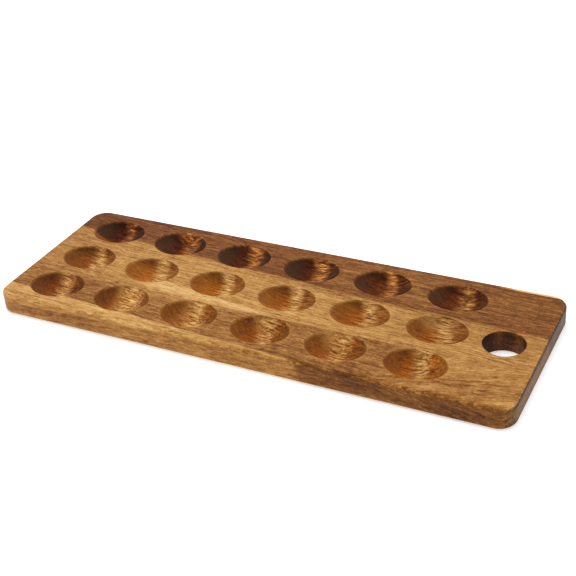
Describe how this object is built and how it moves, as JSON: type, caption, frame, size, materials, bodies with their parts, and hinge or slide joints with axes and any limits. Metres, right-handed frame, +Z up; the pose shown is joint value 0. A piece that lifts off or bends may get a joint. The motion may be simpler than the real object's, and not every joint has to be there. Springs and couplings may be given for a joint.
{
  "type": "egg holder tray",
  "caption": "Flat edge-glued wooden egg holder board with rows of egg-shaped pockets sunk into its top and a round hanging hole through one end.",
  "frame": {"origin": "centre of the board's footprint on its underside", "axes": "+X along the board towards the hanging hole, +Y across the board to the rear, +Z up through the pocketed face"},
  "size_m": [0.416, 0.146, 0.017],
  "materials": {
    "rear_wood": "oiled",
    "middle_wood": "oiled",
    "front_wood": "oiled"
  },
  "bodies": {
    "root": {"rear_stave": "rear_wood", "middle_stave": "middle_wood", "front_stave": "front_wood"}
  },
  "joints": []
}
